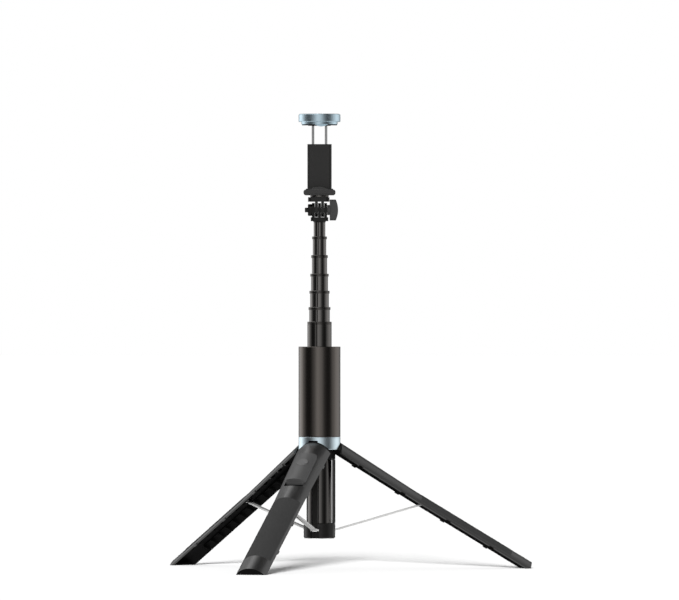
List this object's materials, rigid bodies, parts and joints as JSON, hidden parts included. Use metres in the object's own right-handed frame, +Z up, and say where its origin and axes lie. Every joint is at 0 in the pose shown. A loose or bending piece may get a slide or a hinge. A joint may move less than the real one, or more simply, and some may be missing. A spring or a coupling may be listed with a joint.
{
  "type": "selfie stick",
  "caption": "Telescopic selfie stick with fold-out braced tripod legs, a sprung phone clamp on a tilting and turning head, and a lift-out remote.",
  "frame": {"origin": "on the axis of the mast, at the height of the floor that the open legs stand on", "axes": "+Z up the mast; -Y towards the viewer and the clamp's open front; +X to the right, towards the tilt knob"},
  "size_m": [0.3907, 0.4027, 0.4871],
  "materials": {
    "hub_metal": "dark anodised, fine turned",
    "post_metal": "dark anodised strip",
    "tube_metal": "warm grey anodised, drawn and glossy",
    "rim_metal": "lighter warm grey anodised ring",
    "sleeve_metal": "dark warm grey anodised, glossy",
    "ring_metal": "pale blue silver anodised, satin",
    "cap_metal": "pale blue silver anodised, satin",
    "hinge_plastic": "black moulded nylon",
    "leg_plastic": "dark grey moulded, fine satin grain",
    "grip_rubber": "dark grey soft grip with a fine raised texture",
    "brace_steel": "bright stamped strip",
    "pin_steel": "bright ground pin",
    "screw_steel": "zinc plated",
    "bush_plastic": "black acetal",
    "remote_plastic": "mid grey moulded",
    "remote_base_plastic": "grey moulded",
    "button_plastic": "grey satin key",
    "board_green": "green circuit board",
    "cell_steel": "coin cell can",
    "head_plastic": "black glass-filled nylon",
    "nut_metal": "dark knurled cap nut",
    "bolt_steel": "zinc plated bolt",
    "knob_plastic": "dark grey moulded paddle",
    "mount_plastic": "dark grey moulded",
    "turntable_metal": "turned, satin",
    "jaw_metal": "dark grey moulded, glossy lip",
    "pad_rubber": "black silicone pad",
    "housing_plastic": "dark grey moulded cover",
    "rod_steel": "polished steel rod",
    "spring_steel": "coiled wire"
  },
  "bodies": {
    "root": {"hub": "hub_metal", "hub_screws": "screw_steel", "stop_posts": "post_metal", "tube_1": "tube_metal", "rim_1": "rim_metal"},
    "collar": {"sleeve": "sleeve_metal", "ring": "ring_metal", "hinge_block": "hinge_plastic", "hinge_pins": "pin_steel"},
    "leg_front_body": {"leg_front": "leg_plastic", "grip_front": "grip_rubber", "brace_bolt_front": "pin_steel"},
    "leg_right_body": {"leg_right": "leg_plastic", "grip_right": "grip_rubber", "brace_bolt_right": "pin_steel"},
    "leg_rear_body": {"leg_rear": "leg_plastic", "grip_rear": "grip_rubber", "brace_bolt_rear": "pin_steel"},
    "brace_front_body": {"brace_front": "brace_steel"},
    "brace_right_body": {"brace_right": "brace_steel"},
    "brace_rear_body": {"brace_rear": "brace_steel"},
    "stage_2": {"tube_2": "tube_metal", "rim_2": "rim_metal", "foot_bush_2": "bush_plastic"},
    "stage_3": {"tube_3": "tube_metal", "rim_3": "rim_metal", "foot_bush_3": "bush_plastic"},
    "stage_4": {"tube_4": "tube_metal", "rim_4": "rim_metal", "foot_bush_4": "bush_plastic"},
    "stage_5": {"tube_5": "tube_metal", "rim_5": "rim_metal", "foot_bush_5": "bush_plastic"},
    "stage_6": {"tube_6": "tube_metal", "rim_6": "rim_metal", "foot_bush_6": "bush_plastic"},
    "stage_7": {"tube_7": "tube_metal", "foot_bush_7": "bush_plastic", "head_base": "head_plastic", "head_nut": "nut_metal"},
    "tilt_knob": {"head_bolt": "bolt_steel", "head_knob": "knob_plastic"},
    "tilt_mount": {"head_mount": "mount_plastic", "turntable_screw": "screw_steel"},
    "clamp": {"turntable": "turntable_metal", "lower_jaw": "jaw_metal", "lower_pad": "pad_rubber", "clamp_housing": "housing_plastic", "clamp_springs": "spring_steel"},
    "clamp_cap": {"top_jaw": "cap_metal", "top_pad": "pad_rubber", "guide_rods": "rod_steel", "rod_washers": "screw_steel"},
    "remote": {"remote_top": "remote_plastic", "remote_base": "remote_base_plastic", "remote_board": "board_green", "remote_cell": "cell_steel"},
    "remote_key": {"remote_button": "button_plastic"}
  },
  "joints": [
    {"name": "collar_slide", "type": "slide", "parent": "root", "child": "collar", "axis": [0, 0, 1], "range_m": [0, 0.13331]},
    {"name": "leg_front_fold", "type": "hinge", "parent": "collar", "child": "leg_front_body", "pos_m": [-0.00565, -0.01688, 0.133], "axis": [0.9483, -0.3173, 0], "range_deg": [0, 59]},
    {"name": "brace_front_fold", "type": "hinge", "parent": "leg_front_body", "child": "brace_front_body", "pos_m": [-0.03748, -0.11202, 0.07085], "axis": [-0.9483, 0.3173, 0], "range_deg": [0, 133.04]},
    {"name": "leg_right_fold", "type": "hinge", "parent": "collar", "child": "leg_right_body", "pos_m": [0.01744, 0.00355, 0.133], "axis": [-0.1994, 0.9799, 0], "range_deg": [0, 59]},
    {"name": "brace_right_fold", "type": "hinge", "parent": "leg_right_body", "child": "brace_right_body", "pos_m": [0.11575, 0.02355, 0.07085], "axis": [0.1994, -0.9799, 0], "range_deg": [0, 133.04]},
    {"name": "leg_rear_fold", "type": "hinge", "parent": "collar", "child": "leg_rear_body", "pos_m": [-0.01179, 0.01333, 0.133], "axis": [-0.749, -0.6626, 0], "range_deg": [0, 59]},
    {"name": "brace_rear_fold", "type": "hinge", "parent": "leg_rear_body", "child": "brace_rear_body", "pos_m": [-0.07827, 0.08847, 0.07085], "axis": [0.749, 0.6626, 0], "range_deg": [0, 133.04]},
    {"name": "stage_2_slide", "type": "slide", "parent": "root", "child": "stage_2", "axis": [0, 0, 1], "range_m": [-0.0123, 0.139]},
    {"name": "stage_3_slide", "type": "slide", "parent": "stage_2", "child": "stage_3", "axis": [0, 0, 1], "range_m": [-0.0142, 0.139]},
    {"name": "stage_4_slide", "type": "slide", "parent": "stage_3", "child": "stage_4", "axis": [0, 0, 1], "range_m": [-0.0149, 0.139]},
    {"name": "stage_5_slide", "type": "slide", "parent": "stage_4", "child": "stage_5", "axis": [0, 0, 1], "range_m": [-0.0166, 0.139]},
    {"name": "stage_6_slide", "type": "slide", "parent": "stage_5", "child": "stage_6", "axis": [0, 0, 1], "range_m": [-0.0167, 0.139]},
    {"name": "stage_7_slide", "type": "slide", "parent": "stage_6", "child": "stage_7", "axis": [0, 0, 1], "range_m": [-0.0126, 0.139]},
    {"name": "tilt", "type": "hinge", "parent": "stage_7", "child": "tilt_mount", "pos_m": [0, 0, 0.3843], "axis": [1, 0, 0], "range_deg": [-90, 90]},
    {"name": "knob_turn", "type": "hinge", "parent": "stage_7", "child": "tilt_knob", "pos_m": [0, 0, 0.3843], "axis": [1, 0, 0], "continuous": true},
    {"name": "pan", "type": "hinge", "parent": "tilt_mount", "child": "clamp", "pos_m": [0, 0, 0.398], "axis": [0, 0, 1], "continuous": true},
    {"name": "jaw_slide", "type": "slide", "parent": "clamp", "child": "clamp_cap", "axis": [0, 0, 1], "range_m": [-0.0198, 0.0209], "deforming": ["clamp_springs"]},
    {"name": "remote_lift", "type": "slide", "parent": "leg_front_body", "child": "remote", "axis": [-0.1634, -0.4884, 0.8572], "range_m": [0, 0.012]},
    {"name": "button_press", "type": "slide", "parent": "remote", "child": "remote_key", "axis": [0.1634, 0.4884, -0.8572], "range_m": [0, 0.0008]}
  ],
  "couplings": [
    {"joint": "leg_front_fold", "follows": "collar_slide", "rad_per_m": 7.7244},
    {"joint": "brace_front_fold", "follows": "collar_slide", "rad_per_m": 17.417},
    {"joint": "leg_right_fold", "follows": "collar_slide", "rad_per_m": 7.7244},
    {"joint": "brace_right_fold", "follows": "collar_slide", "rad_per_m": 17.417},
    {"joint": "leg_rear_fold", "follows": "collar_slide", "rad_per_m": 7.7244},
    {"joint": "brace_rear_fold", "follows": "collar_slide", "rad_per_m": 17.417}
  ]
}
